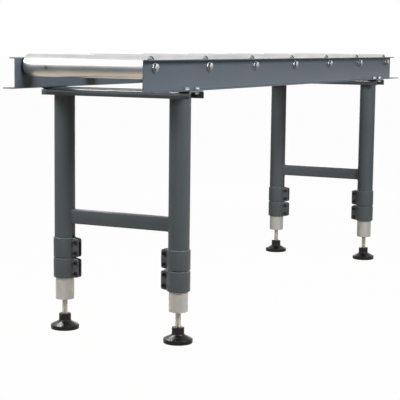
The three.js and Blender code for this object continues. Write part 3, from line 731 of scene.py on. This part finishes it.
# Stretchers: rectangular steel tube between the two legs of each H frame, painted with them.
# The ends are cut to the round of the legs and welded all round with a small rippled bead.
STRETCHER_WALL = 2 * mm
STRETCHER_CORNER = 3 * mm
STRETCHER_FIT = 0.3 * mm
STRETCHER_STEPS = 12
BEAD_RADIUS = 2.2 * mm
BEAD_RIPPLE = 0.14
BEAD_RIPPLE_PITCH = 4 * mm
BEAD_COLUMNS = 10
BEAD_ROWS = 160


def bead(path, outward, upward):
    """A weld bead: a circle carried along a closed path, its radius swelling by a ripple along the way."""
    length = np.linalg.norm(np.diff(np.concatenate([path, path[:1]]), axis=0), axis=1)
    gone = np.append(0, np.cumsum(length)[:-1])
    ripples = round(length.sum() / BEAD_RIPPLE_PITCH)
    swell = BEAD_RADIUS * (1 + BEAD_RIPPLE * np.sin(2 * np.pi * ripples * gone / length.sum()))
    angle = np.linspace(0, 2 * np.pi, BEAD_COLUMNS, endpoint=False)
    ring = np.cos(angle)[None, :, None] * outward[:, None] + np.sin(angle)[None, :, None] * upward[:, None]
    return sheet(path[:, None] + swell[:, None, None] * ring, wrap=(True, True))


for end in ("left", "right"):
    node = f"stretcher_{end}"
    bar_low, bar_high = node_box(node)
    bar_middle = (bar_low + bar_high) / 2
    bar_half = (bar_high - bar_low) / 2
    leg_low, leg_high = node_box(f"leg_tube_{end}_far")
    leg_round = (leg_high - leg_low)[0] / 2 + STRETCHER_FIT
    leg_y = (leg_low + leg_high)[1] / 2
    signs = np.array([(-1, -1), (1, -1), (1, 1), (-1, 1)])
    outer, _ = rounded(signs * bar_half[[0, 2]], STRETCHER_CORNER)
    inner, _ = rounded(signs * (bar_half[[0, 2]] - STRETCHER_WALL), STRETCHER_CORNER - STRETCHER_WALL)
    bar_parts = []
    ring_ends = []
    for ring in (outer, inner):
        reach = leg_y - np.sqrt(leg_round ** 2 - ring[:, 0] ** 2)
        run = np.linspace(-1, 1, STRETCHER_STEPS)[:, None] * reach[None, :]
        points = np.stack([ring[:, 0] + 0 * run, run, ring[:, 1] + 0 * run], -1) + bar_middle
        bar_parts.append(sheet(points, wrap=(False, True)))
        ring_ends.append(points)
    for station in (0, -1):
        rim = np.stack([ring_ends[0][station], ring_ends[1][station]])
        bar_parts.append(sheet(rim, wrap=(False, True)))
    piece_of(f"stretcher_tube_{end}", bar_parts, paint, "frame", [node])

    bead_parts = []
    for way in (-1, 1):
        loop = np.concatenate([outer, outer[:1]])
        loop = along(loop, BEAD_ROWS + 1)[:-1]
        reach = leg_y - np.sqrt((leg_round - STRETCHER_FIT) ** 2 - loop[:, 0] ** 2)
        seam = np.stack([loop[:, 0], way * reach, loop[:, 1]], 1) + bar_middle
        out = loop / np.linalg.norm(loop, axis=1, keepdims=True)
        outward = np.stack([out[:, 0], 0 * out[:, 0], out[:, 1]], 1)
        upward = np.tile((0.0, -float(way), 0.0), (len(seam), 1))
        bead_parts.append(bead(seam, outward, upward))
    for side in ("far", "near"):
        leg_low, leg_high = node_box(f"leg_tube_{end}_{side}")
        turn = np.linspace(0, 2 * np.pi, BEAD_ROWS, endpoint=False)
        outward = np.stack([np.cos(turn), np.sin(turn), 0 * turn], 1)
        ring_middle = (leg_low + leg_high) / 2 * (1, 1, 0) + (0, 0, leg_high[2])
        seam = ring_middle + (leg_high - leg_low)[0] / 2 * outward
        upward = np.tile((0.0, 0.0, 1.0), (len(seam), 1))
        bead_parts.append(bead(seam - (0, 0, BEAD_RADIUS * 1.2), outward, upward))
    piece_of(f"weld_beads_{end}", bead_parts, paint, "frame")

# Cross brackets: inverted channels folded from sheet, one on top of each H frame, painted with it.
# The legs are welded to the underside, and the side channels are bolted down on the ends.
SHEET_WALL = 3 * mm
SHEET_BEND = 2 * mm
BRACKET_BEND = 4.5 * mm
SHEET_EDGE = 0.45 * mm
END_ROUND_STEPS = 4
SHEET_LEVEL = 2 * mm
BRACKET_PAINT = (0.069, 0.083, 0.094, 1)
BRACKET_PAINT_SHADE = (0.062, 0.076, 0.087, 1)

bracket_paint = finish_of(
    "bracket_paint", BRACKET_PAINT, BRACKET_PAINT_SHADE, PAINT_WORN,
    dict(Scale=520.0, Stretch=(1, 1, 1), Detail=2.0, Low=0.3, High=0.38),
    dict(Scale=14.0, Stretch=(1, 1, 1), Detail=3.0, Low=0.0, High=1.0),
    bump=0.14, wear_amount=0.75, Specular_IOR_Level=0.25, Coat_Weight=1.0, Coat_Roughness=0.06,
    Coat_IOR=1.65,
)


def folded_bar(corners, radii, start, end, axis, steps=7):
    """A folded section carried straight along an axis. At both ends the outline is drawn in along its
    normals over a quarter circle, which rounds the sawn edge."""
    loop, wear = rounded(corners, radii, steps)
    keep = np.linalg.norm(loop - np.roll(loop, 1, 0), axis=1) > WELD_DISTANCE
    loop, wear = loop[keep], wear[keep]
    tangent = np.roll(loop, -1, 0) - np.roll(loop, 1, 0)
    normal = np.stack([tangent[:, 1], -tangent[:, 0]], 1)
    normal /= np.linalg.norm(normal, axis=1, keepdims=True)
    area = (loop[:, 0] * np.roll(loop[:, 1], -1) - loop[:, 1] * np.roll(loop[:, 0], -1)).sum()
    normal *= np.sign(area)
    turn = np.linspace(0, np.pi / 2, END_ROUND_STEPS)
    back, draw = SHEET_EDGE * (1 - np.cos(turn)), SHEET_EDGE * (1 - np.sin(turn))
    station = np.concatenate([start + back, [start + SHEET_LEVEL, end - SHEET_LEVEL], end - back[::-1]])
    drawn = np.concatenate([draw, [0, 0], draw[::-1]])
    section = loop[None] - normal[None] * drawn[:, None, None]
    run = station[:, None] + 0 * section[..., 0]
    order = {"x": (run, section[..., 0], section[..., 1]), "y": (section[..., 0], run, section[..., 1])}[axis]
    rolled = np.maximum(wear[None, :], (drawn[:, None] > 0) * 1.0)
    return sheet(np.stack(order, -1), rolled, (False, True))


for end in ("left", "right"):
    node = f"cross_bracket_{end}"
    bracket_low, bracket_high = node_box(node)
    x_low, x_high = bracket_low[0], bracket_high[0]
    top, bottom = bracket_high[2], bracket_low[2]
    bracket_corners = [
        (x_low, bottom), (x_low + SHEET_WALL, bottom), (x_low + SHEET_WALL, top - SHEET_WALL),
        (x_high - SHEET_WALL, top - SHEET_WALL), (x_high - SHEET_WALL, bottom), (x_high, bottom),
        (x_high, top), (x_low, top),
    ]
    outer_bend = SHEET_BEND + SHEET_WALL
    bracket_outer = BRACKET_BEND + SHEET_WALL
    bracket_radii = [SHEET_EDGE, SHEET_EDGE, BRACKET_BEND, BRACKET_BEND, SHEET_EDGE, SHEET_EDGE,
                     bracket_outer, bracket_outer]
    bracket_parts = [folded_bar(bracket_corners, bracket_radii, bracket_low[1], bracket_high[1], "y")]
    piece_of(f"folded_bracket_{end}", bracket_parts, bracket_paint, "frame", [node])

# Side channels: two long channels folded from the same sheet, flanges outward, powder coated.
# The wide lower flange is bolted to the brackets, and the webs hold the roller axles.
TOP_FLANGE = 19 * mm
CHANNEL_HEIGHT = 82 * mm
DECK_PAINT = (0.084, 0.106, 0.131, 1)
DECK_PAINT_SHADE = (0.078, 0.099, 0.123, 1)
DECK_PAINT_WORN = (0.2, 0.22, 0.24, 1)

deck_paint = finish_of(
    "deck_paint", DECK_PAINT, DECK_PAINT_SHADE, DECK_PAINT_WORN,
    dict(Scale=520.0, Stretch=(1, 1, 1), Detail=2.0, Low=0.26, High=0.34),
    dict(Scale=9.0, Stretch=(1, 1, 1), Detail=3.0, Low=0.0, High=1.0),
    bump=0.14, wear_amount=0.75, Specular_IOR_Level=0.25,
)

for side, outward in (("far", 1), ("near", -1)):
    node = f"side_channel_{side}"
    channel_low, channel_high = node_box(node)
    bracket_high = node_box("cross_bracket_left")[1]
    tip = channel_high[1] if outward > 0 else channel_low[1]
    web = channel_low[1] if outward > 0 else channel_high[1]
    top = channel_high[2]
    bottom = top - CHANNEL_HEIGHT
    wall = outward * SHEET_WALL
    channel_corners = [
        (tip, bottom), (tip, bottom + SHEET_WALL), (web + wall, bottom + SHEET_WALL),
        (web + wall, top - SHEET_WALL), (web + outward * TOP_FLANGE, top - SHEET_WALL),
        (web + outward * TOP_FLANGE, top), (web, top), (web, bottom),
    ]
    channel_radii = [SHEET_EDGE, SHEET_EDGE, SHEET_BEND, SHEET_BEND, SHEET_EDGE, SHEET_EDGE, outer_bend, outer_bend]
    channel_parts = [folded_bar(channel_corners, channel_radii, channel_low[0], channel_high[0], "x")]
    piece_of(f"folded_channel_{side}", channel_parts, deck_paint, "frame", [node])

# Flange bolts: M8 hex bolts with washers and nuts, bright zinc, two at each crossing.
# They pass down through the lower flange and the bracket's top, with the nut inside the bracket.
FLANGE_BOLT_OUT = 21 * mm
FLANGE_BOLT_FLATS = 13 * mm
FLANGE_BOLT_HEAD = 4.8 * mm
FLANGE_NUT_HEIGHT = 6.5 * mm
FLANGE_SHANK_RADIUS = 4 * mm
FLANGE_WASHER_RADIUS = 8.5 * mm
FLANGE_WASHER = 1.6 * mm
FLANGE_BOLT_FROM_BRACKET_EDGE = 12.506 * mm
SEAT_GAP = 0.3 * mm
WASHER_EDGE = 0.3 * mm
ZINC = (0.68, 0.69, 0.71, 1)
ZINC_DULL = (0.52, 0.53, 0.545, 1)
ZINC_WORN = (0.78, 0.79, 0.8, 1)

zinc_plate = finish_of(
    "zinc_plate", ZINC, ZINC_DULL, ZINC_WORN,
    dict(Scale=700.0, Stretch=(1, 1, 1), Detail=4.0, Low=0.3, High=0.44),
    dict(Scale=160.0, Stretch=(1, 1, 1), Detail=3.0, Low=0.0, High=1.0),
    bump=0.05, wear_amount=0.6, Metallic=1.0,
)

for side, outward in (("far", 1), ("near", -1)):
    channel_low, channel_high = node_box(f"side_channel_{side}")
    web = channel_low[1] if outward > 0 else channel_high[1]
    flange_top = channel_high[2] - CHANNEL_HEIGHT + SHEET_WALL
    bolt_y = web + outward * (SHEET_WALL + FLANGE_BOLT_OUT)
    bolt_parts = []
    for end in ("left", "right"):
        bracket_low, bracket_high = node_box(f"cross_bracket_{end}")
        for bolt_x in (bracket_low[0] + FLANGE_BOLT_FROM_BRACKET_EDGE, bracket_high[0] - FLANGE_BOLT_FROM_BRACKET_EDGE):
            seat = np.array((bolt_x, bolt_y, flange_top))
            washer = rounded([(0, 0), (FLANGE_WASHER_RADIUS, 0), (FLANGE_WASHER_RADIUS, FLANGE_WASHER),
                              (0, FLANGE_WASHER)], [0, WASHER_EDGE, WASHER_EDGE, 0], 3)
            nut_seat = seat - (0, 0, 2 * SHEET_WALL + 2 * SEAT_GAP)
            tail = rounded([(0, 0), (FLANGE_SHANK_RADIUS, 0), (FLANGE_SHANK_RADIUS, FLANGE_NUT_HEIGHT),
                            (0, FLANGE_NUT_HEIGHT)], [0, 0, WASHER_EDGE, 0], 3)
            bolt_parts.append(round_block(*washer, seat, "z"))
            bolt_parts.append(hex_block(FLANGE_BOLT_FLATS, FLANGE_BOLT_HEAD, seat + (0, 0, FLANGE_WASHER), "z"))
            bolt_parts.append(hex_block(FLANGE_BOLT_FLATS, FLANGE_NUT_HEIGHT, nut_seat, "z", -1, True))
    piece_of(f"flange_bolts_{side}", bolt_parts, zinc_plate, "frame")

# Axles: seven fixed 20 mm steel bars between the webs, bright zinc plated.
# An M12 hex bolt with a washer goes through each web into the tapped end of the bar.
ROLLERS = range(1, 8)
AXLE_RADIUS = 10 * mm
AXLE_CHAMFER = 1 * mm
AXLE_BOLT_FLATS = 19 * mm
AXLE_BOLT_HEAD = 7.5 * mm
AXLE_WASHER_RADIUS = 12 * mm
AXLE_WASHER = 2.5 * mm

for number in ROLLERS:
    axle_low, axle_high = node_box(f"roller_axle_{number}")
    axle_middle = (axle_low + axle_high) / 2
    web_inside = node_box("side_channel_far")[0][1]
    half = web_inside - SEAT_GAP
    bar_outline = rounded([(0, -half), (AXLE_RADIUS, -half), (AXLE_RADIUS, half), (0, half)],
                          [0, AXLE_CHAMFER, AXLE_CHAMFER, 0], 3)
    axle_parts = [round_block(*bar_outline, axle_middle, "y")]
    for way in (-1, 1):
        seat = axle_middle + (0, way * (web_inside + SHEET_WALL + SEAT_GAP), 0)
        washer = rounded([(0, 0), (AXLE_WASHER_RADIUS, 0), (AXLE_WASHER_RADIUS, AXLE_WASHER), (0, AXLE_WASHER)],
                         [0, WASHER_EDGE, WASHER_EDGE, 0], 3)
        axle_parts.append(round_block(*washer, seat, "y", way))
        axle_parts.append(hex_block(AXLE_BOLT_FLATS, AXLE_BOLT_HEAD, seat + (0, way * AXLE_WASHER, 0), "y", way))
    piece_of(f"axle_and_bolts_{number}", axle_parts, zinc_plate, "frame", [f"roller_axle_{number}"])

# Bearings: a sealed ball bearing in a pressed ring at each end of every roller.
# The outer ring turns with the tube, and a dished seal in the same steel closes the gap to the inner race.
BEARING_BORE = 10.3 * mm
BEARING_RACE = 4 * mm
BEARING_RING = 6 * mm
SEAL_DISH = 1.2 * mm
STEEL_GREY = (0.66, 0.665, 0.67, 1)
STEEL_DARK = (0.56, 0.565, 0.57, 1)
STEEL_WORN = (0.75, 0.75, 0.75, 1)

bearing_steel = finish_of(
    "bearing_steel", STEEL_GREY, STEEL_DARK, STEEL_WORN,
    dict(Scale=800.0, Stretch=(1, 1, 1), Detail=3.0, Low=0.28, High=0.42),
    dict(Scale=120.0, Stretch=(1, 1, 1), Detail=3.0, Low=0.0, High=1.0),
    bump=0.05, wear_amount=0.6, Metallic=1.0,
)

for number in ROLLERS:
    for side, way in (("far", 1), ("near", -1)):
        node = f"roller_bearing_{side}_{number}"
        bearing_low, bearing_high = node_box(node)
        bearing_middle = (bearing_low + bearing_high) / 2
        radius = (bearing_high - bearing_low)[2] / 2
        thick = (bearing_high - bearing_low)[1]
        race = BEARING_BORE + BEARING_RACE
        half = thick / 2
        ring_corners = [
            (BEARING_BORE, -half), (radius, -half), (radius, half), (radius - BEARING_RING, half),
            (radius - BEARING_RING - 0.6 * mm, half - SEAL_DISH * 0.6), (race + 0.4 * mm, half - SEAL_DISH),
            (race, half - 0.2 * mm), (BEARING_BORE, half - 0.2 * mm),
        ]
        ring_radii = np.array([0.4, 0.5, 0.5, 0.25, 0.2, 0.15, 0.25, 0.4]) * mm
        ring_outline, ring_wear = rounded(ring_corners, ring_radii, 4)
        bearing_parts = [turned(ring_outline * (1, way), ring_wear, bearing_middle, "y", 64)]
        piece_of(f"sealed_bearing_{side}_{number}", bearing_parts, bearing_steel, f"roller_{number}",
                 [node])

# Rollers: seven bright drawn steel tubes, 60 mm across with a 2 mm wall, cut square and deburred.
# Each is pressed on to its two bearings and turns freely, so loads have scored fine rings round it.
ROLLER_WALL = 2 * mm
ROLLER_EDGE = 0.9 * mm
ROLLER_BRIGHT = (0.68, 0.68, 0.68, 1)
ROLLER_CLOUD = (0.54, 0.54, 0.54, 1)
ROLLER_WORN = (0.7, 0.7, 0.7, 1)
# A small dark spot in roller 1's colour at one place on its surface. It is full inside the core and fades out to the
# reach.
DARK_SPOT_PLACE = (-0.9745, 0.1105, 0.7387)
DARK_SPOT_CORE = 3 * mm
DARK_SPOT_REACH = 8 * mm
DARK_SPOT_STRENGTH = 0.6
DARK_SPOT_COLOUR = (0.12, 0.12, 0.12, 1)

roller_steel = finish_of(
    "roller_steel", ROLLER_BRIGHT, ROLLER_CLOUD, ROLLER_WORN,
    dict(Scale=90.0, Stretch=(0.2, 9.0, 0.2), Detail=5.0, Low=0.28, High=0.34),
    dict(Scale=28.0, Stretch=(1, 0.6, 1), Detail=4.0, Low=0.0, High=1.0),
    bump=0.006, wear_amount=0.7, Metallic=1.0,
)

roller_nodes, roller_link = roller_steel.node_tree.nodes, roller_steel.node_tree.links.new
roller_colour = roller_nodes["Principled BSDF"].inputs["Base Color"]
# This darkens the roller's colour round one point on roller 1.
roller_space = roller_nodes.new("ShaderNodeTexCoord")
dark_spot_distance = roller_nodes.new("ShaderNodeVectorMath")
dark_spot_distance.operation = "DISTANCE"
dark_spot_distance.inputs[1].default_value = DARK_SPOT_PLACE
dark_spot_share = roller_nodes.new("ShaderNodeMapRange")
dark_spot_share.inputs["From Min"].default_value = DARK_SPOT_CORE
dark_spot_share.inputs["From Max"].default_value = DARK_SPOT_REACH
dark_spot_share.inputs["To Min"].default_value = DARK_SPOT_STRENGTH
dark_spot_share.inputs["To Max"].default_value = 0.0
dark_spot_mix = roller_nodes.new("ShaderNodeMix")
dark_spot_mix.data_type = "RGBA"
dark_spot_mix.inputs["B"].default_value = DARK_SPOT_COLOUR
roller_link(roller_space.outputs["Object"], dark_spot_distance.inputs[0])
roller_link(dark_spot_distance.outputs["Value"], dark_spot_share.inputs["Value"])
roller_link(dark_spot_share.outputs[0], dark_spot_mix.inputs["Factor"])
roller_link(roller_colour.links[0].from_socket, dark_spot_mix.inputs["A"])
roller_link(dark_spot_mix.outputs["Result"], roller_colour)

for number in ROLLERS:
    node = f"roller_tube_{number}"
    tube_low, tube_high = node_box(node)
    tube_middle = (tube_low + tube_high) / 2
    radius = (tube_high - tube_low)[2] / 2
    half = (tube_high - tube_low)[1] / 2
    shell_corners = [(radius - ROLLER_WALL, -half), (radius, -half), (radius, half), (radius - ROLLER_WALL, half)]
    shell_outline, shell_wear = rounded(shell_corners, np.array([0.4 * mm, ROLLER_EDGE, ROLLER_EDGE, 0.4 * mm]))
    piece_of(f"roller_shell_{number}", [turned(shell_outline, shell_wear, tube_middle, "y")], roller_steel,
             f"roller_{number}", [node])
